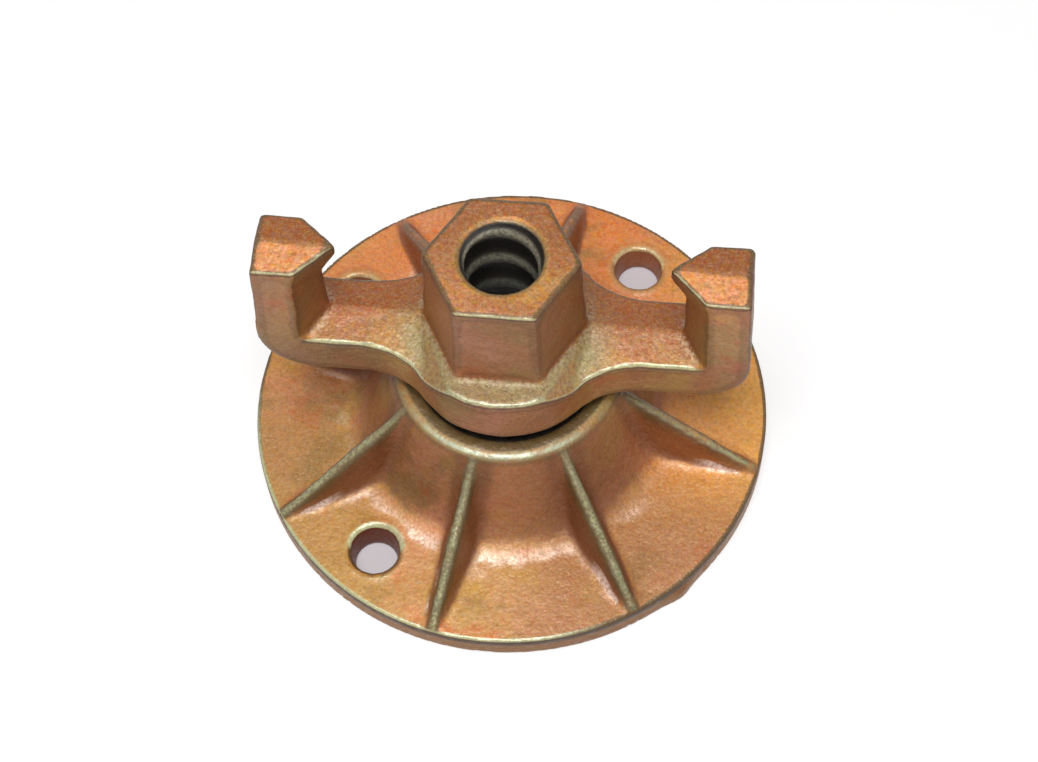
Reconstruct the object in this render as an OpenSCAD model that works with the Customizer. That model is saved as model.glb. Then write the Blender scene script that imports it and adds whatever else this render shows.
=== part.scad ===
// Formwork wing nut with a swivelling bearing plate.
// Origin: centre of the plate's bearing face. +Z: up along the rod. +X: along the wings.

/* [Base plate] */
// Radius of the round plate
plate_r = 60; // [56:0.5:68]
// Height of the plate's rim
rim_h = 6.2; // [5:0.1:7.5]
// Rise of the plate's top, from the rim towards the neck, in degrees
plate_slope = 2.5; // [1:0.1:4]
// Rounding of the rim's upper edge
rim_round = 1.6; // [0.8:0.1:2.2]
// Radius of the raised neck at its lip
lip_r = 25.8; // [25:0.1:28]
// Height of the lip above the bearing face
lip_z = 29; // [27:0.1:33]
// Rounding of the lip's outer edge
lip_round = 4.2; // [2:0.1:4.6]
// Fall of the lip towards the socket
lip_fall = 0.6; // [0.2:0.1:1.2]
// Steepness of the neck's flank, in degrees
flank = 67; // [62:1:72]
// Radius of the sweep from the plate into the neck
sweep_r = 11; // [6:0.5:13]
// Wall of the hollow neck at the bearing face
foot_wall = 6; // [4.5:0.1:8]

/* [Ribs] */
// Number of ribs
rib_count = 8; // [6:1:10]
// Turn of the ribs from the wings, in degrees
rib_turn = 33.6; // [0:0.1:45]
// Width of a rib's crest
rib_w = 2.2; // [1.8:0.1:4.5]
// Draft of a rib's flanks, in degrees
rib_draft = 10; // [4:0.5:14]
// Flat margin between the rim and the rib's toe
rib_margin = 2.2; // [1.5:0.1:4]
// Drop of the crest below the lip where the rib ends
rib_drop = 1.3; // [1:0.1:4]

/* [Nail holes] */
// Radius of a nail hole
nail_r = 4.8; // [3.5:0.1:5.5]
// Radius of the circle that the nail holes lie on
nail_circle = 48.3; // [46:0.1:50]
// Chamfer round the top of a nail hole
nail_chamfer = 1; // [0.4:0.1:1.4]

/* [Casting gate] */
// Angle of the broken gate on the rim, in degrees
gate_turn = -44.7; // [-50:0.5:-35]
// Width of the gate stub along the rim
gate_w = 5.6; // [3:0.1:8]
// Reach of the gate stub beyond the rim
gate_out = 1.6; // [0.6:0.1:2.5]
// Height of the gate stub
gate_h = 4.2; // [2:0.1:4.8]

/* [Ball seat] */
// Radius of the nut's domed underside
ball_r = 30; // [28.5:0.1:32]
// Radius at which the seat meets the lip
seat_r = 18.6; // [18.2:0.1:20]
// Running gap between dome and seat
seat_gap = 0.3; // [0.2:0.05:0.5]
// Depth of the seat's ledge below the lip
seat_depth = 7.5; // [6.5:0.1:8.5]
// Largest tilt of the nut, in degrees
tilt = 8; // [5:0.5:9]
// Gap between the nut's shank and the plate's hole at full tilt
shank_gap = 0.35; // [0.3:0.05:0.8]

/* [Retaining ring] */
// Outer radius of the ring
ring_r = 17.7; // [17.4:0.1:18.4]
// Thickness of the ring
ring_t = 2; // [1.5:0.1:2.6]
// Opening of the ring, in degrees
ring_open = 34; // [15:1:60]
// Gap between the ring and the ledge at full tilt
ring_gap = 0.35; // [0.3:0.05:0.8]
// Gap between the ring's swing and the hollow's wall
swing_gap = 1; // [0.6:0.1:1.6]
// Depth of the groove that holds the ring
groove_d = 1; // [0.6:0.1:1.3]
// Play of the ring in its groove
groove_play = 0.1; // [0.05:0.01:0.2]

/* [Nut body] */
// Radius of the threaded bore's wall
bore_r = 8.8; // [8.3:0.1:9.2]
// Chamfer at the bore's mouth
mouth = 0.7; // [0.4:0.1:1]
// Radius of the shank that passes through the plate
shank_r = 12; // [11.6:0.1:12.4]
// Length of the shank below the ring
shank_tail = 3.4; // [2:0.1:5]
// Radius of the round belly
belly_r = 22.7; // [22.2:0.1:24]
// Rounding between belly and dome
belly_round = 5; // [2:0.1:6]
// Radius of the hexagon's corners at its top
hex_r = 17.1; // [15.8:0.1:18]
// Draft of the hexagon's sides, in degrees
hex_draft = 2.6; // [1:0.1:3.2]
// Height of the hexagon above the wings
hex_h = 24.6; // [18:0.1:30]

/* [Wings] */
// Gap between the plate's lip and the wings
wing_gap = 3.9; // [3.4:0.1:6]
// Thickness of the wings at their ridge
wing_t = 13.5; // [11:0.1:16]
// Half width of the wings
wing_w = 8.7; // [8:0.1:9.4]
// Reach of the wings from the axis
wing_reach = 54.1; // [51:0.1:58]
// Radius of the outer lower corners
wing_corner = 12.5; // [6:0.1:13.5]
// Radius of the flare from the wings into the belly
flare_r = 20; // [12:0.5:24]
// Slope of the wings' top faces down from the ridge, in degrees
gable = 13; // [5:0.5:14]
// Where the slope has faded out on the belly, in degrees from the wings
gable_end = 66; // [55:1:75]

/* [Ears] */
// Height of the ears above the wings
ear_h = 24.6; // [18:0.1:30]
// Half width of an ear at its top
ear_w = 7.6; // [6.8:0.1:7.9]
// Slope of an ear's top faces down from the ridge, in degrees
ear_gable = 10; // [5:0.5:12]
// Inward lean of an ear's outer face, in degrees
ear_lean = 3; // [1:0.1:5]
// Thickness of an ear at its outer edges
ear_t = 9.4; // [7.5:0.1:10]
// Thickness of an ear at its ridge
ear_ridge = 15.1; // [13.8:0.1:16]
// Overhang of the hook past the ear's ridge
hook_out = 3.7; // [2:0.1:4.2]
// Height of the hook's nose
hook_nose = 3; // [2:0.1:4.5]
// Height of the slope under the nose
hook_fall = 7.5; // [5:0.1:9]

/* [Hidden] */
$fn = 96;
eps = 0.01;
far = 100;
arc_step = 5;
zinc = "#c58a56";
steel = "#8d8f92";

// Levels, from the bearing face up
seat_top = lip_z - lip_fall;
ball_z = seat_top + sqrt(pow(ball_r + seat_gap, 2) - pow(seat_r, 2));
ledge_z = lip_z - seat_depth;
hole_r = shank_r / cos(tilt) + (ball_z - ledge_z) * sin(tilt) + shank_gap;
ring_top = ball_z + (ledge_z - ring_gap - ball_z - ring_r * sin(tilt)) / cos(tilt);
hollow_r = ring_r * cos(tilt) + (ball_z - ring_top + ring_t) * sin(tilt) + swing_gap;
shank_end = ring_top - ring_t - shank_tail;
wing_low = lip_z + wing_gap;
wing_top = wing_low + wing_t;
ear_top = wing_top + ear_h;
hex_top = wing_top + hex_h;

// Where the neck's flank would meet the plate's top if there were no sweep
flank_foot_r = (lip_r + (lip_z - rim_h - plate_r * tan(plate_slope)) / tan(flank))
    / (1 - tan(plate_slope) / tan(flank));
flank_foot_z = rim_h + (plate_r - flank_foot_r) * tan(plate_slope);
hollow_foot_r = lip_r + lip_z / tan(flank) - foot_wall;
nail_top = rim_h + (plate_r - nail_circle) * tan(plate_slope);

// Centre of a flare's arc. The arc dips a little into the belly, so that the two never just touch.
flare_overlap = 0.4;
flare_y = wing_w + flare_r;
flare_x = sqrt(pow(belly_r + flare_r - flare_overlap, 2) - pow(flare_y, 2));
flare_share = belly_r / (belly_r + flare_r);

// Ear, measured at the level of the wings' top
ear_inner = wing_reach - ear_ridge;
ear_shoulder = wing_reach - ear_t;
hook_tip = ear_inner - hook_out;

// A polygon's corners, each given as [x, y, radius], with the corners rounded
function unit(v) = v / norm(v);
function xy(p) = [p[0], p[1]];
function corner(a, b, c) =
    let(
        u = unit(xy(a) - xy(b)),
        v = unit(xy(c) - xy(b)),
        half = acos(u * v) / 2,
        room = min(norm(xy(a) - xy(b)), norm(xy(c) - xy(b))) * 0.49,
        r = min(b[2], room * tan(half)),
        centre = xy(b) + unit(u + v) * r / sin(half),
        p = xy(b) + u * r / tan(half),
        q = xy(b) + v * r / tan(half),
        start = atan2(p[1] - centre[1], p[0] - centre[0]),
        turn = atan2(q[1] - centre[1], q[0] - centre[0]) - start,
        sweep = turn > 180 ? turn - 360 : turn < -180 ? turn + 360 : turn,
        steps = max(2, ceil(abs(sweep) / arc_step))
    )
    r < eps ? [xy(b)] : [for (i = [0 : steps])
        centre + r * [cos(start + sweep * i / steps), sin(start + sweep * i / steps)]];
function rounded(points) =
    let(n = len(points))
    [for (i = [0 : n - 1])
        each corner(points[(i + n - 1) % n], points[i], points[(i + 1) % n])];

// ---------------------------------------------------------------- base plate

module plate_outside() {
    rotate_extrude()
        polygon(rounded([
            [0, 0, 0],
            [plate_r, 0, 0.8],
            [plate_r, rim_h, rim_round],
            [flank_foot_r, flank_foot_z, sweep_r],
            [lip_r, lip_z, lip_round],
            [seat_r, seat_top, 0],
            [0, seat_top, 0],
        ]));
}

// One rib: a beam with a rounded crest that follows a straight line from the rim to the lip
module rib() {
    toe = [plate_r - rib_margin, rim_h];
    head = [lip_r - lip_round * 0.3, lip_z - rib_drop];
    rise = atan2(head[1] - toe[1], toe[0] - head[0]);
    length = norm(head - toe);
    depth = head[1];
    foot_w = rib_w + 2 * depth * tan(rib_draft);
    translate([toe[0], 0, toe[1]])
        rotate([0, rise - 90, 0])
            rotate([0, 0, -90])
                linear_extrude(length)
                    polygon(rounded([
                        [-foot_w / 2, -depth, 0],
                        [foot_w / 2, -depth, 0],
                        [rib_w / 2, 0, rib_w * 0.4],
                        [-rib_w / 2, 0, rib_w * 0.4],
                    ]));
}

// Room under the neck for the ring and the nut's shank
module hollow() {
    rotate_extrude()
        polygon(rounded([
            [0, -1, 0],
            [hollow_foot_r, -1, 0],
            [hollow_foot_r, 0, 0],
            [hollow_r, ledge_z, 1.2],
            [0, ledge_z, 0],
        ]));
}

module nail_hole() {
    translate([nail_circle, 0, -1])
        cylinder(h = rim_h + 5, r = nail_r);
    translate([nail_circle, 0, nail_top - nail_chamfer])
        cylinder(h = nail_chamfer * 2, r1 = nail_r, r2 = nail_r + nail_chamfer * 2);
}

module base_plate() {
    color(zinc)
        difference() {
            union() {
                plate_outside();
                for (i = [0 : rib_count - 1])
                    rotate([0, 0, rib_turn + i * 360 / rib_count])
                        rib();
                rotate([0, 0, gate_turn])
                    translate([plate_r - 2, -gate_w / 2, 0.8])
                        cube([2 + gate_out, gate_w, gate_h]);
            }
            translate([0, 0, -far])
                cylinder(h = far, r = plate_r + 5);
            hollow();
            translate([0, 0, ledge_z - eps])
                cylinder(h = far, r = hole_r);
            translate([0, 0, ball_z])
                sphere(r = ball_r + seat_gap, $fn = 180);
            for (quarter = [0 : 2])
                rotate([0, 0, rib_turn + 180 / rib_count + quarter * 90])
                    nail_hole();
        }
}

// ------------------------------------------------------------------ wing nut

// One flare's curve, from the wing's edge into the belly, in the quarter that x and y name
function flare(x, y) =
    let(
        low = atan2(-flare_y, -flare_x) + 360,
        turn = 270 - low,
        steps = ceil(abs(turn) / arc_step),
        points = [for (i = [0 : steps])
            let(a = 270 - turn * i / steps)
            [x * (flare_x + flare_r * cos(a)), y * (flare_y + flare_r * sin(a))]]
    )
    x * y > 0 ? points : [for (i = [steps : -1 : 0]) points[i]];

// Seen from above: both wings with the flares that run into the belly
module wing_plan() {
    end = wing_reach + 2;
    polygon(concat(
        [[end, -wing_w], [end, wing_w]],
        flare(1, 1),
        flare(-1, 1),
        [[-end, wing_w], [-end, -wing_w]],
        flare(-1, -1),
        flare(1, -1)
    ));
}

// What lies above the sloping top of one quarter of the wings. The slope is full as far as the
// belly and fades over a fan-shaped face into the belly's flat top.
module gable_cut() {
    fan_x = hex_r + 2;
    full = [flare_x, -flare_y] * flare_share;
    flat = belly_r * [cos(gable_end), -sin(gable_end)];
    turn = atan2(flat[1], flat[0] - fan_x);
    reach = (full[0] - fan_x) * cos(turn + 90) + full[1] * sin(turn + 90);
    fall = atan(-full[1] * tan(gable) / reach);
    depth = belly_r + 1;
    full_x = fan_x - (full[0] - fan_x) * depth / full[1];
    flat_x = fan_x - (flat[0] - fan_x) * depth / flat[1];
    intersection() {
        translate([0, 0, wing_low])
            linear_extrude(far)
                polygon([[fan_x, 0], [far, 0], [far, -depth], [full_x, -depth]]);
        translate([0, 0, wing_top])
            rotate([gable, 0, 0])
                translate([0, -far, 0])
                    cube([far, far, far]);
    }
    intersection() {
        translate([0, 0, wing_low])
            linear_extrude(far)
                polygon([[fan_x, 0], [full_x, -depth], [flat_x, -depth]]);
        translate([fan_x, 0, wing_top])
            rotate([0, 0, turn])
                rotate([-fall, 0, 0])
                    translate([-far / 2, 0, 0])
                        cube([far, far, far]);
    }
}

// Its children with the gable cut into all four quarters
module gabled() {
    difference() {
        children();
        for (x = [0, 1], y = [0, 1])
            mirror([x, 0, 0])
                mirror([0, y, 0])
                    gable_cut();
    }
}

module wings() {
    translate([0, 0, wing_low])
        linear_extrude(wing_t)
            wing_plan();
}

// An ear is a five-sided post whose ridge faces the bore
module ear_post(low, ridge_x) {
    translate([0, 0, low])
        linear_extrude(ear_top - low)
            polygon([
                [wing_reach + 2, -wing_w],
                [ear_shoulder, -wing_w],
                [ridge_x, 0],
                [ear_shoulder, wing_w],
                [wing_reach + 2, wing_w],
            ]);
}

// Undercut of the hook on the side of one flank
module hook_undercut() {
    run = ear_shoulder - hook_tip;
    side = norm([run, wing_w]);
    lean = atan(hook_out * wing_w / side / hook_fall);
    translate([hook_tip, 0, ear_top - hook_nose])
        rotate([0, 0, atan2(-wing_w, run)])
            rotate([lean, 0, 0])
                translate([-far / 2, -far, -far])
                    cube([far, far, far]);
}

module hook() {
    difference() {
        ear_post(ear_top - hook_nose - hook_fall, hook_tip);
        for (y = [0, 1])
            mirror([0, y, 0])
                hook_undercut();
    }
}

// Top gable and front and back draft of an ear
module ear_trim() {
    draft = atan((wing_w - ear_w) / ear_h);
    for (y = [0, 1])
        mirror([0, y, 0]) {
            translate([0, 0, ear_top])
                rotate([ear_gable, 0, 0])
                    translate([0, -far, 0])
                        cube([far, far, far]);
            translate([0, -wing_w, wing_top])
                rotate([-draft, 0, 0])
                    translate([0, -far, 0])
                        cube([far, far, far]);
        }
}

module ear() {
    difference() {
        union() {
            ear_post(wing_low + 1, ear_inner);
            hook();
        }
        ear_trim();
    }
}

// Outer boundary of wings and ears, seen from the front
module front_outline() {
    top_x = wing_reach - ear_h * tan(ear_lean);
    low_x = wing_reach + wing_t * tan(ear_lean);
    rotate([90, 0, 0])
        linear_extrude(far, center = true)
            polygon(rounded([
                [-low_x, wing_low, wing_corner],
                [low_x, wing_low, wing_corner],
                [top_x, ear_top, 1.5],
                [-top_x, ear_top, 1.5],
            ]));
}

// Belly, dome and shank in one turn
module core_outside() {
    edge = asin((belly_r - belly_round) / (ball_r - belly_round));
    start = asin(shank_r / ball_r);
    centre = [belly_r - belly_round, ball_z - (ball_r - belly_round) * cos(edge)];
    dome_steps = ceil((edge - start) / 2.5);
    round_steps = ceil((90 - edge) / arc_step);
    dome = [for (i = [0 : dome_steps - 1])
        let(a = start + (edge - start) * i / dome_steps)
        [ball_r * sin(a), ball_z - ball_r * cos(a)]];
    bend = [for (i = [0 : round_steps])
        let(a = edge + (90 - edge) * i / round_steps)
        centre + belly_round * [sin(a), -cos(a)]];
    rotate_extrude()
        polygon(concat(
            [[0, shank_end], [shank_r - mouth, shank_end], [shank_r, shank_end + mouth]],
            dome,
            bend,
            [[belly_r, wing_top - 0.8], [belly_r - 0.8, wing_top], [0, wing_top]]
        ));
}

module hexagon() {
    height = hex_h + wing_t / 2;
    translate([0, 0, hex_top - height])
        cylinder(h = height, r1 = hex_r + height * tan(hex_draft), r2 = hex_r, $fn = 6);
}

module bore() {
    translate([0, 0, shank_end - 1])
        cylinder(h = far, r = bore_r);
    translate([0, 0, hex_top - mouth])
        cylinder(h = mouth * 2, r1 = bore_r, r2 = bore_r + mouth * 2);
    translate([0, 0, shank_end - mouth])
        cylinder(h = mouth * 2, r1 = bore_r + mouth * 2, r2 = bore_r);
}

module ring_groove() {
    translate([0, 0, ring_top - ring_t - groove_play])
        difference() {
            cylinder(h = ring_t + 2 * groove_play, r = shank_r + 1);
            translate([0, 0, -1])
                cylinder(h = ring_t + 3, r = shank_r - groove_d);
        }
}

module wing_nut() {
    color(zinc)
        difference() {
            union() {
                intersection() {
                    front_outline();
                    union() {
                        gabled()
                            wings();
                        ear();
                        mirror([1, 0, 0])
                            ear();
                    }
                }
                gabled()
                    core_outside();
                hexagon();
            }
            bore();
            ring_groove();
        }
}

// ------------------------------------------------------------ retaining ring

module retaining_ring() {
    inner_r = shank_r - groove_d + groove_play;
    color(steel)
        translate([0, 0, ring_top - ring_t])
            difference() {
                cylinder(h = ring_t, r = ring_r);
                translate([0, 0, -1])
                    cylinder(h = ring_t + 2, r = inner_r);
                translate([0, 0, -1])
                    linear_extrude(ring_t + 2)
                        polygon([
                            [0, 0],
                            far * [cos(ring_open / 2), sin(ring_open / 2)],
                            far * [cos(ring_open / 2), -sin(ring_open / 2)],
                        ]);
            }
}

base_plate();
wing_nut();
retaining_ring();
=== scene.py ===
"""Looks of the formwork wing nut: cast skins over the solids, yellow zinc, soft studio light."""

import math

import bpy
import numpy as np
import openvdb as vdb
from mathutils import Matrix, Vector

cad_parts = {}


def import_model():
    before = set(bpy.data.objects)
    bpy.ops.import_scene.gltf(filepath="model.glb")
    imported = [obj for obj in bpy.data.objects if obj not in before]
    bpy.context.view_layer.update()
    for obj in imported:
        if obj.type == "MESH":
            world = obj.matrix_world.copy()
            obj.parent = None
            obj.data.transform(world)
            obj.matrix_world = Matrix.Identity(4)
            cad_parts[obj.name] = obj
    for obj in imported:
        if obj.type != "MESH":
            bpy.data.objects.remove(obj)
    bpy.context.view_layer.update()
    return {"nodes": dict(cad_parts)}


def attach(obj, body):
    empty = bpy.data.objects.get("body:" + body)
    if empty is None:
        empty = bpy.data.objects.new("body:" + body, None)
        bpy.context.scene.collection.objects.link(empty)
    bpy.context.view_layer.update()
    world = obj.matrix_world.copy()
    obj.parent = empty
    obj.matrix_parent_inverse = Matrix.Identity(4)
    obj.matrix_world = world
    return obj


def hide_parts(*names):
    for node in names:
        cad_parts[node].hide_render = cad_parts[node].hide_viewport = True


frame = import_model()

MM = 0.001

# Sizes of the CAD part, in mm
BORE_R = 8.8
PITCH = 10.0
HEX_TOP = 71.0
SHANK_END = 13.0
PLATE_R = 60.0
TOP_SLOPE = 0.0437
NECK_FOOT, NECK_TAPER = 35.5, 0.4245
RIBS, RIB_TURN = 8, 33.6
RIB_STEP = 360 / RIBS
HOLE_R, HOLE_CIRCLE = 4.8, 48.3
HOLE_TURNS = [math.radians(a) for a in (56.1, 146.1, 236.1)]
HOLES = [(HOLE_CIRCLE * math.cos(a), HOLE_CIRCLE * math.sin(a)) for a in HOLE_TURNS]
GATE_TURN = -44.7

# Sizes of the skins, in mm
PLATE_VOXEL, PLATE_FILLET, PLATE_ROUND = 0.65, 2.0, 0.55
NUT_VOXEL, NUT_FILLET, NUT_ROUND = 0.49, 0.8, 0.5
RIM_R, RIM_H, RIM_ROUND = 59.9, 6.15, 0.5
RIM_FROM, RIM_FOOT = 54.0, 3.0
RIB_HEAD = (25.0, 28.1)
RIB_TOE = (59.3, 7.0)
RIB_FOOT = 3.0
HOLE_FLARE = 0.95
HOLE_LIP_R, HOLE_LIP_WIDTH, HOLE_LIP_RISE = 6.9, 0.8, 0.3
GATE_REACH, GATE_WIDTH = 0.9, 3.5
GATE_FROM, GATE_FOOT, GATE_TOP = 57.0, 0.3, 5.0
# The thread's ridge, its width as a share of the pitch
THREAD_DEPTH, THREAD_WIDTH = 1.15, 0.8
# Roughness of the castings: height, cell and seed of each wave
PLATE_WAVES = ((0.10, 4.2, 11), (0.05, 1.7, 12))
NUT_WAVES = ((0.07, 3.6, 21), (0.035, 1.5, 22))


# ---------------------------------------------------------------- skins

def level_set(points, triangles, quads, voxel, half):
    """Signed distance grid of a closed surface, in mm."""
    return vdb.FloatGrid.createLevelSetFromPolygons(
        np.ascontiguousarray(points, np.float32),
        triangles=triangles,
        quads=quads,
        transform=vdb.createLinearTransform(voxel),
        halfWidth=half,
    )


def node_surface(node):
    """Points in mm and triangles of a CAD node."""
    mesh = frame["nodes"][node].data
    points = np.zeros(len(mesh.vertices) * 3, np.float32)
    mesh.vertices.foreach_get("co", points)
    points = points.reshape(-1, 3)
    mesh.calc_loop_triangles()
    tris = np.zeros(len(mesh.loop_triangles) * 3, np.int32)
    mesh.loop_triangles.foreach_get("vertices", tris)
    # Points that share a place become one, so that the surface is closed
    keys = np.round(points * 1e7).astype(np.int64)
    unique, index = np.unique(keys, axis=0, return_inverse=True)
    tris = index.reshape(-1)[tris].reshape(-1, 3)
    a, b, c = tris.T
    good = (a != b) & (b != c) & (a != c)
    return unique.astype(np.float64) * 1e-7 / MM, tris[good].astype(np.uint32)


class Field:
    """A distance field on a regular grid around one node, in mm."""

    def __init__(self, node, voxel, half=7.0):
        self.voxel, self.half = voxel, half
        points, tris = node_surface(node)
        pad = int(half) + 4
        self.first = np.floor(points.min(0) / voxel).astype(int) - pad
        last = np.ceil(points.max(0) / voxel).astype(int) + pad
        self.shape = tuple(int(n) for n in last - self.first + 1)
        empty = np.zeros((0, 4), np.uint32)
        self.d = self.dense(level_set(points, tris, empty, voxel, half))
        axes = [(self.first[i] + np.arange(self.shape[i])) * voxel for i in range(3)]
        self.x = axes[0][:, None, None].astype(np.float32)
        self.y = axes[1][None, :, None].astype(np.float32)
        self.z = axes[2][None, None, :].astype(np.float32)
        self.r = np.sqrt(self.x**2 + self.y**2)

    def corner(self):
        return tuple(int(i) for i in self.first)

    def dense(self, grid):
        """The grid's values as an array."""
        out = np.zeros(self.shape, np.float32)
        grid.copyToArray(out, ijk=self.corner())
        return out

    def surface(self, values, iso=0.0):
        """Points, triangles and quads where the values reach iso."""
        grid = vdb.FloatGrid(float(self.voxel * self.half))
        grid.copyFromArray(np.ascontiguousarray(values, np.float32), ijk=self.corner())
        grid.transform = vdb.createLinearTransform(self.voxel)
        grid.gridClass = vdb.GridClass.LEVEL_SET
        return grid.convertToPolygons(iso, 0.0)

    def offset(self, values, by):
        """Distance field of the surface grown by that much, or shrunk if it is negative."""
        points, tris, quads = self.surface(values, by)
        return self.dense(level_set(points, tris, quads, self.voxel, self.half))

    def fillet(self, values, radius):
        """Rounds the inner corners: grow, then shrink."""
        return self.offset(values, radius) + radius

    def round(self, values, radius):
        """Rounds the outer edges: shrink, then grow."""
        return self.offset(values, -radius) - radius

    def sample(self, values, points):
        """Values at points in mm, interpolated."""
        p = points / self.voxel - self.first
        i = np.clip(np.floor(p).astype(int), 0, np.array(self.shape) - 2)
        f = p - i
        out = np.zeros(len(points))
        for dx in (0, 1):
            for dy in (0, 1):
                for dz in (0, 1):
                    w = (np.where(dx, f[:, 0], 1 - f[:, 0])
                         * np.where(dy, f[:, 1], 1 - f[:, 1])
                         * np.where(dz, f[:, 2], 1 - f[:, 2]))
                    out += w * values[i[:, 0] + dx, i[:, 1] + dy, i[:, 2] + dz]
        return out

    def waves(self, cell, seed):
        """Smooth random field with bumps about two cells wide and a spread of about 1."""
        rng = np.random.default_rng(seed)
        weights, counts = [], []
        for n in self.shape:
            at = np.arange(n) * self.voxel / cell
            count = int(at[-1]) + 5
            # Cubic B-spline weights
            near = np.abs(at[:, None] + 1.5 - np.arange(count)[None, :])
            inner = 2 / 3 - near**2 + near**3 / 2
            outer = np.where(near < 2, (2 - near) ** 3 / 6, 0)
            weights.append(np.where(near < 1, inner, outer).astype(np.float32))
            counts.append(count)
        field = rng.standard_normal(counts).astype(np.float32)
        for w in weights:
            field = np.tensordot(field, w, axes=(0, 1))
        return field * 2.2

    def rough(self, waves):
        """Sum of waves, each given as its height, cell and seed."""
        return sum(height * self.waves(cell, seed) for height, cell, seed in waves)


def blurred(values, sigma):
    """Gaussian blur along the three axes, sigma in cells."""
    reach = int(math.ceil(sigma * 2.5))
    kernel = np.exp(-0.5 * (np.arange(-reach, reach + 1) / sigma) ** 2)
    kernel /= kernel.sum()
    for axis in range(3):
        margins = [(reach, reach) if a == axis else (0, 0) for a in range(3)]
        padded = np.pad(values, margins, mode="edge")
        total = np.zeros_like(values)
        for k, w in enumerate(kernel):
            part = [slice(None)] * 3
            part[axis] = slice(k, k + values.shape[axis])
            total += np.float32(w) * padded[tuple(part)]
        values = total
    return values


def smoothstep(low, high, values):
    """0 at low and 1 at high, with a soft start and end."""
    t = np.clip((values - low) / (high - low), 0, 1)
    return t * t * (3 - 2 * t)


def store(mesh, label, values):
    """Keeps one number for each point, for the material."""
    layer = mesh.attributes.new(label, "FLOAT", "POINT")
    layer.data.foreach_set("value", values.astype(np.float32))


def make_piece(name, field, values, settle=None, layers=()):
    """Mesh of the field's zero surface, with its fine and broad curvature kept for each point.

    settle moves the points first, and layers hold more (label, function of the points).
    """
    points, tris, quads = field.surface(values)
    points = np.asarray(points, np.float64)
    if settle:
        points = settle(points)
    faces = np.asarray(tris).tolist() + np.asarray(quads).tolist()
    mesh = bpy.data.meshes.new(name)
    mesh.from_pydata((points * MM).tolist(), [], [f[::-1] for f in faces])
    mesh.polygons.foreach_set("use_smooth", [True] * len(mesh.polygons))
    capped = np.clip(values, -3.0, 3.0)
    for label, sigma_mm in (("edge", 0.5), ("form", 1.9)):
        soft = blurred(capped, sigma_mm / field.voxel)
        store(mesh, label, field.sample(soft - capped, points) / sigma_mm)
    for label, distance in layers:
        store(mesh, label, distance(points))
    mesh.update()
    obj = bpy.data.objects.new(name, mesh)
    bpy.context.scene.collection.objects.link(obj)
    print(f"{name}: {len(points)} points, {len(tris) + 2 * len(quads)} triangles")
    return obj


def smooth_max(a, b, radius):
    """Intersection of two fields with its edge rounded."""
    deep = (a < -radius) & (b < -radius)
    near = np.sqrt(np.maximum(a + radius, 0) ** 2 + np.maximum(b + radius, 0) ** 2) - radius
    return np.where(deep, np.maximum(a, b), near)


def cast_rib(f, degrees):
    """A rib with a round crest that runs from the lip out to the rim."""
    a = math.radians(degrees)
    along = f.x * math.cos(a) + f.y * math.sin(a)
    across = np.abs(f.y * math.cos(a) - f.x * math.sin(a))
    (head_r, head_z), (toe_r, toe_z) = RIB_HEAD, RIB_TOE
    crest = head_z + (along - head_r) * (toe_z - head_z) / (toe_r - head_r)
    below = crest - f.z
    # It is thickest half way, and widens downwards
    half = 0.85 + 0.55 * np.sin(math.pi * np.clip((along - head_r) / (toe_r - head_r), 0, 1))
    side = across - half - np.maximum(below, 0) * 0.15
    rib = smooth_max(side, -below * 0.85, 0.9)
    ends = np.maximum(head_r - 0.6 - along, along - toe_r)
    # Nothing of it shows under the plate or in the hollow neck
    inside = np.maximum(RIB_FOOT - f.z, NECK_FOOT - NECK_TAPER * f.z - along)
    return np.maximum(rib, np.maximum(ends, inside))


def rib_away(points):
    """Distance from the nearest rib's middle plane, in mm."""
    angle = np.degrees(np.arctan2(points[:, 1], points[:, 0])) - RIB_TURN
    off = np.radians((angle + RIB_STEP / 2) % RIB_STEP - RIB_STEP / 2)
    return np.abs(np.sin(off)) * np.hypot(points[:, 0], points[:, 1])


def hole_away(points):
    """Distance from the nearest nail hole's axis, in mm."""
    return np.min([np.hypot(points[:, 0] - x, points[:, 1] - y) for x, y in HOLES], axis=0)


def swelling(x, y, z):
    """What is left of the gate: how far the rim stands out, in mm."""
    turn = np.degrees(np.arctan2(y, x)) - GATE_TURN
    return GATE_REACH * np.exp(-(turn / GATE_WIDTH) ** 2) * (1 - smoothstep(2.6, 4.8, z))


def hole_wall(z):
    """Radius of a nail hole at a height, in mm: it widens upwards."""
    return HOLE_R + HOLE_FLARE * smoothstep(1.0, 8.5, z)


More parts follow.
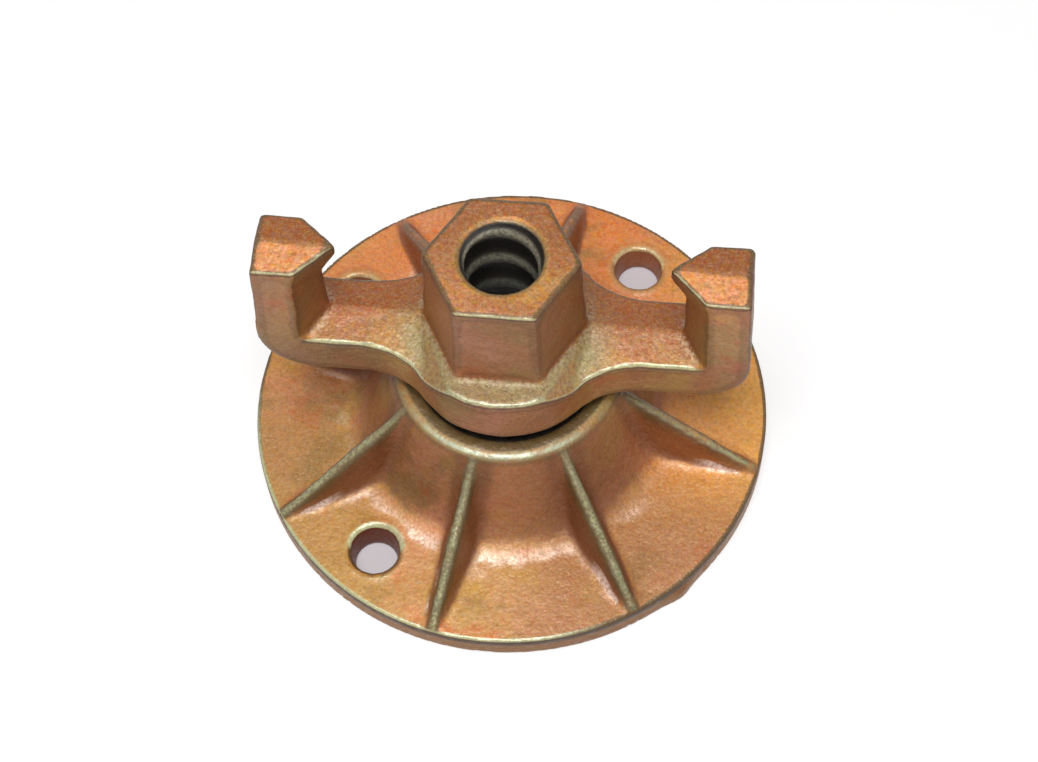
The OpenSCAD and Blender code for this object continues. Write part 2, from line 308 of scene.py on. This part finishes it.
def true_rounds(points):
    """Moves the points of the rim and of the nail holes onto their true round profiles."""
    x, y, z = points.T
    r = np.hypot(x, y)
    wall = RIM_R + swelling(x, y, z)
    new_r, new_z = r.copy(), z.copy()
    # The rim's rounded upper corner, about a circle at height middle
    middle = RIM_H + 0.03 - RIM_ROUND
    across, beyond = r - wall + RIM_ROUND, z - middle
    away = np.maximum(np.hypot(across, beyond), 1e-6)
    corner = (across > 0) & (beyond > 0) & (away < RIM_ROUND + 0.4)
    new_r[corner] = (wall - RIM_ROUND + across * RIM_ROUND / away)[corner]
    new_z[corner] = (middle + beyond * RIM_ROUND / away)[corner]
    # Its lower corner and its upright wall
    foot = (r > wall - 0.3) & (z < 0.3)
    new_r[foot], new_z[foot] = (wall - 0.09)[foot], 0.09
    flat = (r > wall - 0.4) & (z >= 0.3) & (z < middle)
    new_r[flat] = wall[flat]
    scale = new_r / np.maximum(r, 1e-6)
    moved = np.column_stack((x * scale, y * scale, new_z))
    # The walls of the nail holes
    for hole_x, hole_y in HOLES:
        off = moved[:, :2] - (hole_x, hole_y)
        away = np.hypot(off[:, 0], off[:, 1])
        wall = hole_wall(z)
        bore = (np.abs(away - wall) < 0.35) & (z < 5.5)
        moved[bore, :2] = (off * (wall / np.maximum(away, 1e-6))[:, None] + (hole_x, hole_y))[bore]
    return moved


def plate_skin():
    """The ribbed plate."""
    f = Field("base_plate", PLATE_VOXEL, 6.0)
    body = f.d
    for i in range(RIBS):
        body = np.minimum(body, cast_rib(f, RIB_TURN + RIB_STEP * i))
    cast = f.fillet(body, PLATE_FILLET)
    cast = f.round(cast, PLATE_ROUND)
    # Crisp rim, with what is left of the gate as a low swelling
    top = f.z - RIM_H - (PLATE_R - f.r) * TOP_SLOPE
    rim = smooth_max(f.r - RIM_R, top, RIM_ROUND)
    rim = np.maximum(np.maximum(rim, RIM_FROM - f.r), RIM_FOOT - f.z)
    cast = np.minimum(cast, rim)
    reach = f.r - RIM_R - swelling(f.x, f.y, f.z)
    gate = np.maximum(reach, GATE_FROM - f.r)
    gate = np.maximum(gate, np.maximum(GATE_FOOT - f.z, f.z - GATE_TOP))
    cast = np.minimum(cast, gate)
    cast = smooth_max(cast, reach, 0.2)
    # The ball seat, the neck and the underside keep their true surfaces
    fit = (1 - smoothstep(20.5, 23.0, f.r)) * smoothstep(9.0, 12.0, f.z)
    fit = np.maximum(fit, (1 - smoothstep(0.6, 2.0, f.z)) * (1 - smoothstep(56.0, 58.0, f.r)))
    cast = cast + f.rough(PLATE_WAVES) * (1 - fit) * (1 - 0.9 * smoothstep(57.0, 59.0, f.r))
    # Nail holes widen upwards and have a slightly raised rim
    for x, y in HOLES:
        away = np.hypot(f.x - x, f.y - y)
        lip = np.exp(-((away - HOLE_LIP_R) / HOLE_LIP_WIDTH) ** 2)
        cast = cast - HOLE_LIP_RISE * lip * (f.z > 4)
        cast = smooth_max(cast, (hole_wall(f.z) - away) * 0.98, 0.35)
    cast = np.where(fit > 0, fit * f.d + (1 - fit) * cast, cast)
    cast = np.maximum(cast, -f.z)
    layers = (("rib_away", rib_away), ("hole_away", hole_away))
    return make_piece("plate_cast", f, cast.astype(np.float32), true_rounds, layers)


def nut_skin():
    """The nut with its wings and its threaded bore."""
    f = Field("wing_nut", NUT_VOXEL, 7.0)
    cast = f.fillet(f.d, NUT_FILLET)
    cast = f.round(cast, NUT_ROUND)
    # The dome, the shank and the bore keep their true surfaces
    fit = 1 - smoothstep(31.0, 32.5, f.z)
    bore = (1 - smoothstep(9.6, 10.6, f.r)) * np.ones(f.shape, np.float32)
    keep = np.maximum(fit, bore)
    cast = cast + f.rough(NUT_WAVES) * (1 - keep)
    cast = np.where(keep > 0, keep * f.d + (1 - keep) * cast, cast)
    # Coarse right-hand thread: a rounded rib on a helix inside the plain bore
    turn = np.arctan2(f.y, f.x) / (2 * math.pi)
    phase = np.abs(((f.z / PITCH - turn) % 1.0) - 0.5) * 2
    ridge = 0.5 + 0.5 * np.cos(math.pi * np.clip(phase / THREAD_WIDTH, 0, 1))
    lower = smoothstep(SHANK_END + 0.5, SHANK_END + 2.5, f.z)
    upper = 1 - smoothstep(HEX_TOP - 2.2, HEX_TOP - 0.6, f.z)
    crest = BORE_R - THREAD_DEPTH * ridge * (lower * upper)
    thread = np.maximum(crest - f.r, f.r - 10.2)
    thread = np.maximum(thread, np.maximum(SHANK_END + 0.4 - f.z, f.z - HEX_TOP + 0.5))
    cast = np.minimum(cast, thread)
    return make_piece("nut_cast", f, cast.astype(np.float32))


# ---------------------------------------------------------------- materials

class Nodes:
    """Short hand for building the node tree of a material or a world."""

    def __init__(self, owner, output):
        self.owner = owner
        owner.use_nodes = True
        self.tree = owner.node_tree
        self.tree.nodes.clear()
        self.out = self.add(output)

    def add(self, kind, **values):
        node = self.tree.nodes.new(kind)
        for key, value in values.items():
            setattr(node, key, value)
        return node

    def link(self, a, b):
        self.tree.links.new(a, b)

    def feed(self, socket, value):
        """Links a socket, or sets a plain value."""
        if isinstance(value, bpy.types.NodeSocket):
            self.link(value, socket)
        else:
            socket.default_value = value

    def noise(self, scale, detail=2.0, rough=0.5, distortion=0.0):
        node = self.add("ShaderNodeTexNoise")
        node.inputs["Scale"].default_value = scale
        node.inputs["Detail"].default_value = detail
        node.inputs["Roughness"].default_value = rough
        node.inputs["Distortion"].default_value = distortion
        self.link(self.place, node.inputs["Vector"])
        return node.outputs["Fac"]

    def math(self, operation, a, b=0.0):
        node = self.add("ShaderNodeMath", operation=operation)
        self.feed(node.inputs[0], a)
        self.feed(node.inputs[1], b)
        return node.outputs[0]

    def times(self, first, *others):
        for other in others:
            first = self.math("MULTIPLY", first, other)
        return first

    def most(self, first, *others):
        for other in others:
            first = self.math("MAXIMUM", first, other)
        return first

    def plus(self, a, b):
        return self.math("ADD", a, b)

    def minus(self, a, b):
        return self.math("SUBTRACT", a, b)

    def size(self, value):
        return self.math("ABSOLUTE", value)

    def span(self, value, low, high, to_low=0.0, to_high=1.0):
        """Smooth step from to_low at low to to_high at high; low may lie above high."""
        node = self.add("ShaderNodeMapRange", interpolation_type="SMOOTHSTEP")
        self.feed(node.inputs["Value"], value)
        limits = (("From Min", low), ("From Max", high), ("To Min", to_low), ("To Max", to_high))
        for name, limit in limits:
            node.inputs[name].default_value = limit
        return node.outputs["Result"]

    def mix(self, fac, a, b, blend="MIX"):
        node = self.add("ShaderNodeMix", data_type="RGBA", blend_type=blend)
        node.clamp_factor = True
        self.feed(node.inputs["Factor"], fac)
        self.feed(node.inputs["A"], a)
        self.feed(node.inputs["B"], b)
        return node.outputs["Result"]

    def paint(self, colour, share, shade):
        """Lays a share of a shade, in 8-bit display values, over the colour."""
        return self.mix(share, colour, srgb(*shade))

    def attribute(self, name):
        return self.add("ShaderNodeAttribute", attribute_name=name).outputs["Fac"]

    def bump(self, height, strength, distance, *normals):
        node = self.add("ShaderNodeBump")
        self.feed(node.inputs["Height"], height)
        self.feed(node.inputs["Strength"], strength)
        node.inputs["Distance"].default_value = distance
        for normal in normals:
            self.link(node.outputs["Normal"], normal)


def new_material(name):
    return Nodes(bpy.data.materials.new(name), "ShaderNodeOutputMaterial")


def srgb(r, g, b):
    """Linear colour from 8-bit display values."""
    def lin(v):
        v /= 255
        return v / 12.92 if v <= 0.04045 else ((v + 0.055) / 1.055) ** 2.4
    return (lin(r), lin(g), lin(b), 1.0)


def tint(tone, key):
    """Factor that turns the front colour into another one."""
    base, other = srgb(*tone["front"]), srgb(*tone[key])
    return tuple(o / b for o, b in zip(other, base))


def mottled(n, tone):
    """Broad mottling of the passivation, tan in front and orange at the back."""
    colour = n.mix(n.span(n.y, -45, 50), srgb(*tone["front"]), srgb(*tone["back"]))
    for key, scale, low, high, share in (
        ("pink", 42, 0.48, 0.64, 0.6),
        ("olive", 50, 0.48, 0.64, 0.8),
        ("yellow", 38, 0.52, 0.66, 0.75),
        ("red", 70, 0.56, 0.70, 0.7),
    ):
        cloud = n.span(n.noise(scale, 4, 0.6, distortion=0.3), low, high, 0.0, share)
        colour = n.paint(colour, cloud, tone[key])
    for share, shade, low_x, high_x, low_y, high_y in tone["patches"]:
        here = n.times(n.span(n.x, low_x, high_x), n.span(n.y, low_y, high_y), share)
        colour = n.paint(colour, here, shade)
    return colour


def painted_facing_shade(n, colour, tone):
    """Painted shade by how a face is turned: standing walls browner, less so where they face the
    front, high front walls of the ears paler, slopes that face backwards darker and more orange,
    and painted light on the high slopes that face the front.
    """
    ahead = n.span(n.front, -0.75, -0.9)
    wall = n.mix(ahead, tint(tone, "wall"), tint(tone, "wall_front"))
    high = n.times(n.span(n.z, 40, 60), ahead, n.span(n.size(n.x), 30, 40))
    wall = n.mix(high, wall, tint(tone, "wall_high"))
    colour = n.mix(n.span(n.level, tone["wall_from"], tone["wall_full"]), colour, wall, "MULTIPLY")
    back = n.times(n.span(n.front, 0.04, 0.14), n.span(n.level, 0.6, 0.9), tone["back_share"])
    colour = n.paint(colour, back, tone["back_face"])
    # Painted light on the high slopes that face the front
    lit = n.times(n.span(n.front, -0.07, -0.16), n.span(n.z, 58, 62))
    lit = n.times(lit, n.span(n.level, 0.7, 0.9, 0.0, 0.7))
    return n.paint(colour, lit, tone["lit"])


def edged(n, colour, tone):
    """Bare grey-green zinc on worn edges, painted pale as a highlight where they face the light and
    dark as shade where they face away, with a painted dark line of shade on their outer side.
    Also where it shines.
    """
    uneven = n.plus(n.edge, n.times(n.minus(n.noise(520, 2, 0.6), 0.5), 0.06))
    # Painted shade: a dark line on the outer side of edges, and along upright edges
    edge_shade_line = n.times(n.span(n.plus(uneven, 0.02), 0.07, 0.17), n.span(n.up, 0.62, 0.42))
    edge_shade_line = n.times(edge_shade_line, n.span(n.up, 0.10, 0.22, 0.0, 0.7))
    upright = n.times(n.span(n.form, 0.09, 0.17), n.span(n.level, 0.3, 0.1, 0.0, 0.25))
    edge_shade_line = n.most(edge_shade_line, upright)
    worn = n.span(uneven, tone["worn"], tone["worn"] + 0.1)
    worn = n.times(worn, n.span(n.up, 0.42, 0.66))

    # Painted shade on edges that face away from the light: behind, the bore's mouth, right of the
    # rim
    mouth = n.times(n.span(n.z, 66, 68), n.span(n.front, -0.6, -0.4))
    right = n.times(n.span(n.radius, 57.5, 58.5), n.span(n.x, 10, 30), n.span(n.z, 20, 15))
    dull = n.most(n.span(n.front, -0.16, 0.04), mouth, right)
    bare_lit_and_shaded = n.mix(dull, srgb(*tone["edge_top"]), srgb(*tone["edge_back"]))

    # Painted shade in inner corners
    corner = n.times(n.span(n.form, -0.03, -0.25), n.span(n.level, 0.9, 0.6), 0.5)
    colour = n.paint(colour, corner, tone["hollow"])
    colour = n.mix(n.times(worn, 0.85), colour, bare_lit_and_shaded)
    colour = n.paint(colour, edge_shade_line, tone["edge_side"])
    return colour, n.times(worn, n.minus(1.0, dull))


def grained(n, colour, tone, dark):
    """Small changes of hue and brightness, dark pits and pale specks, weaker on the walls."""
    strength = n.span(n.level, 0.2, 0.8, tone["wall_grain"], tone["grain"])
    change = n.add("ShaderNodeHueSaturation")
    n.link(n.span(n.noise(1000, 2, 0.6), 0.32, 0.68, 0.490, 0.514), change.inputs["Hue"])
    n.link(n.span(n.noise(800, 2, 0.6), 0.3, 0.7, 1.07, 0.91), change.inputs["Saturation"])
    n.link(n.span(n.grain, 0.3, 0.7, 0.80, 1.20), change.inputs["Value"])
    n.link(strength, change.inputs["Fac"])
    n.link(colour, change.inputs["Color"])
    pit = n.times(n.span(n.grain, 0.38, 0.28), n.times(strength, 0.4))
    colour = n.paint(change.outputs["Color"], pit, tone["pit"])
    speck = n.times(n.span(n.noise(2200, 1, 0.5), 0.55, 0.72), n.span(n.level, 0.8, 0.97, 0.0, 0.2))
    return n.paint(colour, n.times(speck, n.minus(1.0, dark)), tone["speck"])


def zinc_cast(name, tone, seed, local):
    """Yellow-passivated zinc on rough cast iron.

    local() adds what belongs to one piece only. It returns the colour, where that piece shines
    and where it is dark. Places are in mm in the piece's own frame.
    """
    n = new_material(name)
    coord = n.add("ShaderNodeTexCoord")
    shift = n.add("ShaderNodeMapping")
    shift.inputs["Location"].default_value = (seed * 0.37, seed * 0.21, seed * 0.11)
    n.link(coord.outputs["Object"], shift.inputs["Vector"])
    n.place = shift.outputs["Vector"]
    split = n.add("ShaderNodeSeparateXYZ")
    n.link(coord.outputs["Object"], split.inputs[0])
    n.x, n.y, n.z = [n.times(axis, 1 / MM) for axis in split.outputs]
    n.radius = n.math("SQRT", n.plus(n.times(n.x, n.x), n.times(n.y, n.y)))
    facing = n.add("ShaderNodeSeparateXYZ")
    n.link(coord.outputs["Normal"], facing.inputs[0])
    n.side, n.front, n.up = facing.outputs
    n.level = n.size(n.up)
    n.edge, n.form = n.attribute("edge"), n.attribute("form")
    n.grain = n.noise(1300, 2, 0.6)

    colour = painted_facing_shade(n, mottled(n, tone), tone)
    colour, bright = edged(n, colour, tone)
    colour, shine, dark = local(n, colour, tone)
    shine = n.most(bright, shine)
    colour = grained(n, colour, tone, dark)

    shader = n.add("ShaderNodeBsdfPrincipled")
    n.link(colour, shader.inputs["Base Color"])
    shader.inputs["Metallic"].default_value = 0.12
    rough = n.span(n.noise(600, 2, 0.6), 0.3, 0.7, 0.40, 0.58)
    n.link(n.minus(rough, n.times(shine, 0.14)), shader.inputs["Roughness"])
    shader.inputs["Coat Roughness"].default_value = 0.24
    n.link(n.plus(n.times(shine, 0.9), 0.08), shader.inputs["Coat Weight"])
    height = n.plus(n.times(n.grain, 0.8), n.times(n.noise(560, 2, 0.55), 1.3))
    strength = n.minus(0.7, n.times(shine, 0.35))
    n.bump(height, strength, 0.00022, shader.inputs["Normal"], shader.inputs["Coat Normal"])
    n.link(shader.outputs["BSDF"], n.out.inputs["Surface"])
    return n.owner


def plate_ribs(n, colour, tone, away):
    """Painted shade on the flanks and along the crests' sides, and painted glints as pale specks
    along the crests' middles, strongest in front. Also where the crests shine.
    """
    flank_shade = n.times(n.span(away, 6.0, 3.0), n.span(n.up, 0.86, 0.6), n.span(n.radius, 59, 57))
    colour = n.paint(colour, n.times(flank_shade, 0.6), tone["hollow"])
    # Painted shade along the crests' sides, painted glints along their middles
    ridge = n.times(n.span(n.form, 0.05, 0.14), n.span(n.radius, 25.6, 26.4))
    ridge = n.times(ridge, n.span(n.radius, 59.8, 59.2))
    ahead = n.times(n.span(n.y, 25, 0), n.span(n.x, 40, 20, 0.35, 1.0))
    inner = n.times(ridge, n.span(away, 1.1, 0.3), ahead)
    outer = n.times(ridge, n.span(away, 1.9, 1.3), n.span(n.x, 50, 25, 0.45, 1.0))
    colour = n.paint(colour, n.times(outer, n.span(n.y, 30, 0, 0.15, 0.8)), tone["crest"])
    specks = n.span(n.noise(1400, 2, 0.6), 0.42, 0.60, 0.1, 0.85)
    specks = n.times(specks, n.span(n.radius, 30, 42, 0.4, 1.0))
    return n.paint(colour, n.times(inner, specks), tone["crest_speck"]), inner


def plate_lip(n, colour, tone):
    """Pale lip, stronger in front, with a painted highlight along its front, and painted shade: a
    dark land inside it, a dark line just outside it and a black crevice. Also where it shines and
    is dark.
    """
    top = n.span(n.z, 26, 28)
    patchy = n.span(n.noise(260, 3, 0.6), 0.32, 0.55, 0.45, 1.0)
    # Painted shade on the land inside the lip
    land = n.times(n.span(n.radius, 24.6, 23.6), n.span(n.z, 18, 22))
    colour = n.paint(colour, n.times(land, 0.85), tone["land"])
    lip = n.times(n.span(n.radius, 26.3, 25.7), n.span(n.radius, 23.4, 24.4), top, patchy)
    lip = n.times(lip, n.span(n.y, -10, -24, 0.75, 1.0))
    colour = n.paint(colour, n.times(lip, 0.7), tone["lip"])
    lip_highlight_band = n.times(n.span(n.radius, 25.7, 25.2), n.span(n.radius, 24.3, 24.9), top, patchy)
    lip_highlight_band = n.times(lip_highlight_band, n.span(n.y, -13, -24.5))
    colour = n.paint(colour, n.times(lip_highlight_band, 0.75), tone["lip_core"])
    outside_shade = n.times(n.span(n.radius, 25.8, 26.1), n.span(n.radius, 26.9, 26.4))
    outside_shade = n.times(outside_shade, n.span(n.grain, 0.35, 0.55), 0.5)
    colour = n.paint(colour, outside_shade, tone["land"])
    # Painted shade: black in the crevice at the ball seat
    seat_shade = n.times(n.span(n.radius, 21.8, 21.2), n.span(n.z, 16, 20))
    return n.paint(colour, seat_shade, tone["crevice"]), lip_highlight_band, n.most(seat_shade, land)


def plate_holes(n, colour, tone, hole):
    """Nail holes painted red-brown as shade inside, lighter on the far wall that faces the light,
    with worn edges painted as a highlight where they face the front. Also where they shine and are
    dark.
    """
    ring = n.times(n.span(hole, 7.6, 6.8), n.span(n.front, -0.02, -0.12), n.span(n.up, 0.6, 0.8))
    ring = n.times(ring, n.most(n.span(n.y, 20, 0, 0.25, 1.0), n.span(n.x, -20, 10)))
    colour = n.paint(colour, n.times(ring, 0.6), tone["edge_top"])
    rear = n.times(n.span(hole, 8.0, 7.0), n.span(n.up, 0.5, 0.7), n.span(n.y, 0, 20))
    colour = n.paint(colour, n.times(rear, 0.6), tone["hole_rim"])
    # Painted shade inside the holes, lighter on the far wall
    bore = n.times(n.span(hole, 6.1, 5.6), n.span(n.up, 0.6, 0.35))
    wall = n.mix(n.span(n.y, 0, 20), srgb(*tone["hole"]), srgb(*tone["hole_back"]))
    return n.mix(n.times(bore, 0.85), colour, wall), ring, bore


def plate_local(n, colour, tone):
    """Ribs, lip, holes and rim of the plate, and the pale streaks between its ribs."""
    below = n.most(n.span(n.z, 4.5, 3.5), n.span(n.up, 0.0, -0.1))
    away = n.plus(n.attribute("rib_away"), n.times(below, 100))
    hole = n.attribute("hole_away")
    colour, crest_glints = plate_ribs(n, colour, tone, away)
    colour, lip_highlight_band, crevice = plate_lip(n, colour, tone)
    colour, ring, bore = plate_holes(n, colour, tone, hole)

    # Painted shade on the rim's upright side, darker still under its top edge
    rim = n.times(n.span(n.radius, 59.0, 59.6), n.span(n.up, 0.5, 0.3))
    colour = n.paint(colour, n.times(rim, 0.6), tone["rim"])
    colour = n.paint(colour, n.times(rim, n.span(n.z, 3.6, 4.8, 0.0, 0.85)), tone["edge_side"])

    # Painted highlight where light sweeps across the hollow between two ribs
    sweep = n.times(n.span(n.radius, 37, 42.5), n.span(n.radius, 48, 43.5))
    sweep = n.times(sweep, n.span(n.front, -0.05, -0.2), n.span(away, 3.0, 6.0))
    sweep = n.times(sweep, n.span(hole, 7.0, 8.5), n.span(n.x, 30, -10, 0.35, 1.0))
    colour = n.paint(colour, n.times(sweep, n.span(n.grain, 0.35, 0.6, 0.45, 0.95)), tone["sweep"])
    # Painted highlight: a pale line along the foot of the ribs' near flanks
    near = n.plus(n.times(n.side, -0.5), n.times(n.front, -0.85))
    fold = n.times(n.span(n.form, -0.07, -0.15), n.span(near, 0.22, 0.4))
    fold = n.times(fold, n.span(n.radius, 44, 50), n.span(away, 6.5, 4.5), n.span(n.y, 8, -2))
    fold = n.times(fold, n.span(n.grain, 0.3, 0.6, 0.3, 0.65))
    colour = n.paint(colour, fold, tone["fold"])
    return colour, n.most(crest_glints, lip_highlight_band, ring, sweep, fold), n.most(crevice, bore)


def nut_local(n, colour, tone):
    """Pale rough feet painted as a highlight, olive belly, golden mouth, painted shade under the
    belly, graphite bore with thread crests painted as light, paler towards the top.
    """
    # Painted highlight on the rough feet, where their fillets face up
    foot = n.times(n.span(n.form, -0.08, -0.22), n.span(n.up, 0.45, 0.8))
    foot = n.times(foot, n.span(n.grain, 0.40, 0.58), 0.3)
    colour = n.paint(colour, foot, tone["foot"])
    belly = n.times(n.span(n.radius, 27, 20), n.span(n.z, 49, 46), n.span(n.up, 0.5, 0.9))
    belly = n.times(belly, n.span(n.y, 4, -8, 0.15, 1.0), 0.7)
    colour = n.paint(colour, belly, tone["belly"])
    mouth = n.times(n.span(n.radius, 10.8, 9.7), n.span(n.z, 69, 70.5), 0.35)
    colour = n.paint(colour, mouth, tone["mouth"])
    # Painted shade under the belly's rim, where it meets the plate
    under_shade = n.times(n.span(n.radius, 23.5, 22.5), n.span(n.z, 33.4, 32.6))
    colour = n.paint(colour, under_shade, tone["crevice"])
    # Painted light on the thread crests, paler towards the top
    thread = n.mix(n.span(n.z, 52, 66), srgb(*tone["thread_low"]), srgb(*tone["thread_high"]))
    thread = n.paint(thread, n.span(n.grain, 0.42, 0.60, 0.0, 0.6), tone["thread_pit"])
    metal = n.mix(n.span(n.radius, 8.5, 7.9), srgb(*tone["bore"]), thread)
    inside = n.times(n.span(n.radius, 9.8, 9.2), n.span(n.z, HEX_TOP, HEX_TOP - 0.7))
    return n.mix(inside, colour, metal), n.times(inside, 0.25), n.most(inside, under_shade)


def ring_steel():
    """Plain zinc-plated spring steel."""
    n = new_material("ring_zinc")
    n.place = n.add("ShaderNodeTexCoord").outputs["Object"]
    shader = n.add("ShaderNodeBsdfPrincipled")
    colour = n.mix(n.noise(300, 3, 0.6), srgb(150, 142, 118), srgb(196, 184, 140))
    n.link(colour, shader.inputs["Base Color"])
    shader.inputs["Metallic"].default_value = 0.9
    n.link(n.span(n.noise(900, 2, 0.5), 0.3, 0.7, 0.3, 0.5), shader.inputs["Roughness"])
    n.bump(n.noise(1800, 1, 0.5), 0.3, 0.00008, shader.inputs["Normal"])
    n.link(shader.outputs["BSDF"], n.out.inputs["Surface"])
    return n.owner


# Colours as 8-bit display values. A patch is a share, a colour, and where it starts and is full
# along x and y, in mm. wall_from and wall_full are how level a face is where walls,
# and their painted shade, start and end.
PLATE_TONE = {
    "front": (206, 148, 88),
    "back": (226, 128, 60),
    "pink": (218, 146, 104),
    "olive": (154, 118, 58),
    "yellow": (204, 156, 66),
    "red": (208, 108, 54),
    "wall": (158, 104, 60),
    "wall_front": (170, 112, 70),
    "wall_high": (170, 112, 70),
    "wall_from": 0.97,
    "wall_full": 0.72,
    "back_face": (196, 116, 56),
    "back_share": 0.3,
    "patches": (
        # The first patch is painted light: golden, right of the nut, where the right wing's shade
        # falls
        (0.70, (252, 176, 86), 24, 50, -36, -18),
        (0.60, (160, 104, 60), 0, 18, -8, -26),
        (0.50, (152, 112, 60), -20, -50, 4, -12),
        (0.30, (226, 156, 96), -20, -40, 0, 14),
        (0.40, (192, 148, 56), -12, -34, -22, -36),
    ),
    "lit": (206, 146, 86),
    "grain": 0.58,
    "wall_grain": 0.4,
    "pit": (128, 68, 30),
    "speck": (240, 206, 150),
    "worn": 0.12,
    "edge_top": (190, 192, 142),
    "edge_back": (92, 74, 42),
    "edge_side": (56, 50, 42),
    "crest": (98, 82, 46),
    "crest_speck": (170, 168, 114),
    "lip": (146, 144, 102),
    "lip_core": (204, 216, 184),
    "land": (78, 68, 36),
    "rim": (182, 122, 52),
    "sweep": (250, 226, 208),
    "fold": (238, 208, 192),
    "hole": (108, 38, 18),
    "hole_back": (168, 104, 66),
    "hole_rim": (202, 148, 84),
    "hollow": (116, 66, 34),
    "crevice": (22, 17, 12),
}
NUT_TONE = dict(
    PLATE_TONE,
    front=(182, 115, 64),
    back=(174, 102, 50),
    pink=(206, 130, 86),
    olive=(160, 118, 60),
    yellow=(194, 140, 64),
    red=(188, 98, 50),
    wall=(164, 104, 58),
    wall_front=(186, 130, 92),
    wall_high=(222, 150, 106),
    wall_from=0.75,
    wall_full=0.3,
    back_face=(152, 82, 30),
    back_share=0.85,
    patches=(
        (0.40, (150, 88, 46), -20, -34, -30, -20),
        (0.60, (144, 84, 38), -30, -20, -10, 4),
    ),
    lit=(230, 146, 84),
    grain=1.0,
    wall_grain=0.45,
    worn=0.07,
    foot=(206, 200, 172),
    belly=(140, 140, 100),
    mouth=(190, 146, 68),
    bore=(46, 42, 38),
    thread_low=(100, 102, 90),
    thread_high=(180, 172, 150),
    thread_pit=(64, 62, 54),
)


# ---------------------------------------------------------------- pieces

def build():
    """Both castings in place of their solids, and the ring's own finish."""
    plate = plate_skin()
    plate.data.materials.append(zinc_cast("plate_zinc", PLATE_TONE, 1.0, plate_local))
    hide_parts("base_plate")
    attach(plate, "plate")

    nut = nut_skin()
    nut.data.materials.append(zinc_cast("nut_zinc", NUT_TONE, 2.0, nut_local))
    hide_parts("wing_nut")
    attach(nut, "nut")

    ring = frame["nodes"]["retaining_ring"]
    ring.data.materials.clear()
    ring.data.materials.append(ring_steel())


# ---------------------------------------------------------------- studio

# Lengths in m
FLOOR_HALF = 3.0
FLOOR_DROP = 0.0002
UNDER_PLATE_SHADOW = (0.055, 0.058)
# Strengths
BACKDROP = 0.68
FILL = 0.19


def seen(n):
    """1 for rays that show a surface, 0 for those that only light one."""
    path = n.add("ShaderNodeLightPath").outputs
    return n.most(*(path[f"Is {kind} Ray"] for kind in ("Camera", "Glossy", "Transmission")))


def floor():
    """Pale floor that takes the part's shadow and looks like the backdrop."""
    mesh = bpy.data.meshes.new("floor")
    s = FLOOR_HALF
    mesh.from_pydata([(-s, -s, 0), (s, -s, 0), (s, s, 0), (-s, s, 0)], [], [(0, 1, 2, 3)])
    obj = bpy.data.objects.new("floor", mesh)
    obj.location.z = -FLOOR_DROP
    bpy.context.scene.collection.objects.link(obj)
    n = new_material("floor_white")
    far = n.add("ShaderNodeVectorMath", operation="LENGTH")
    n.link(n.add("ShaderNodeTexCoord").outputs["Object"], far.inputs[0])
    diffuse = n.add("ShaderNodeBsdfDiffuse")
    diffuse.inputs["Color"].default_value = (0.42, 0.41, 0.41, 1)
    # The floor under the plate, seen through the nail holes, glows a little darker than the
    # backdrop: a painted shadow
    glow = n.add("ShaderNodeEmission")
    shade = n.mix(n.span(far.outputs["Value"], *UNDER_PLATE_SHADOW), (0.34, 0.29, 0.32, 1), (1, 1, 1, 1))
    n.link(shade, glow.inputs["Color"])
    n.link(n.times(seen(n), BACKDROP), glow.inputs["Strength"])
    both = n.add("ShaderNodeAddShader")
    n.link(diffuse.outputs[0], both.inputs[0])
    n.link(glow.outputs[0], both.inputs[1])
    n.link(both.outputs[0], n.out.inputs["Surface"])
    mesh.materials.append(n.owner)


def world():
    """White where it is seen, and a weak fill light otherwise."""
    studio = bpy.data.worlds.new("studio")
    bpy.context.scene.world = studio
    n = Nodes(studio, "ShaderNodeOutputWorld")
    sky = n.add("ShaderNodeBackground")
    sky.inputs["Color"].default_value = (1.0, 1.0, 1.0, 1)
    n.link(n.span(seen(n), 0, 1, FILL, 1.0), sky.inputs["Strength"])
    n.link(sky.outputs[0], n.out.inputs["Surface"])


def area(name, azimuth, elevation, distance, size, power):
    """A soft square lamp aimed at the part. Azimuth 0 is in front (-Y), 90 is on the right (+X)."""
    a, e = math.radians(azimuth), math.radians(elevation)
    data = bpy.data.lights.new(name, "AREA")
    data.shape = "SQUARE"
    data.size = size
    data.energy = power
    obj = bpy.data.objects.new(name, data)
    away = Vector((math.sin(a) * math.cos(e), -math.cos(a) * math.cos(e), math.sin(e)))
    obj.location = Vector((0, 0, 0.03)) + away * distance
    obj.rotation_mode = "QUATERNION"
    obj.rotation_quaternion = away.to_track_quat("Z", "Y")
    bpy.context.scene.collection.objects.link(obj)


def turned(a, b, angle):
    """Two vectors at right angles, turned in their plane from a towards b."""
    return a * math.cos(angle) + b * math.sin(angle), b * math.cos(angle) - a * math.sin(angle)


def camera():
    """The photo's camera, fitted to the rim, lip, holes, ribs, hexagon and ears."""
    data = bpy.data.cameras.new("camera")
    data.sensor_width = 36.0
    data.lens = 75.8
    data.clip_start, data.clip_end = 0.02, 20.0
    obj = bpy.data.objects.new("camera", data)
    heading, pitch = math.radians(9.258), math.radians(60.55)
    yaw, roll = math.radians(0.25), math.radians(-3.72)
    obj.location = (0.0399, -0.24478, 0.45705)
    flat = Vector((-math.sin(heading), math.cos(heading), 0))
    look = flat * math.cos(pitch) + Vector((0, 0, -math.sin(pitch)))
    side = Vector((math.cos(heading), math.sin(heading), 0))
    look, side = turned(look, side, yaw)
    side, up = turned(side, side.cross(look), roll)
    obj.rotation_mode = "QUATERNION"
    obj.rotation_quaternion = Matrix((side, up, -look)).transposed().to_quaternion()
    bpy.context.scene.collection.objects.link(obj)
    bpy.context.scene.camera = obj


build()
floor()
world()
area("key", -5, 75, 0.85, 0.42, 5.8)
camera()
bpy.context.scene.view_settings.view_transform = "Standard"
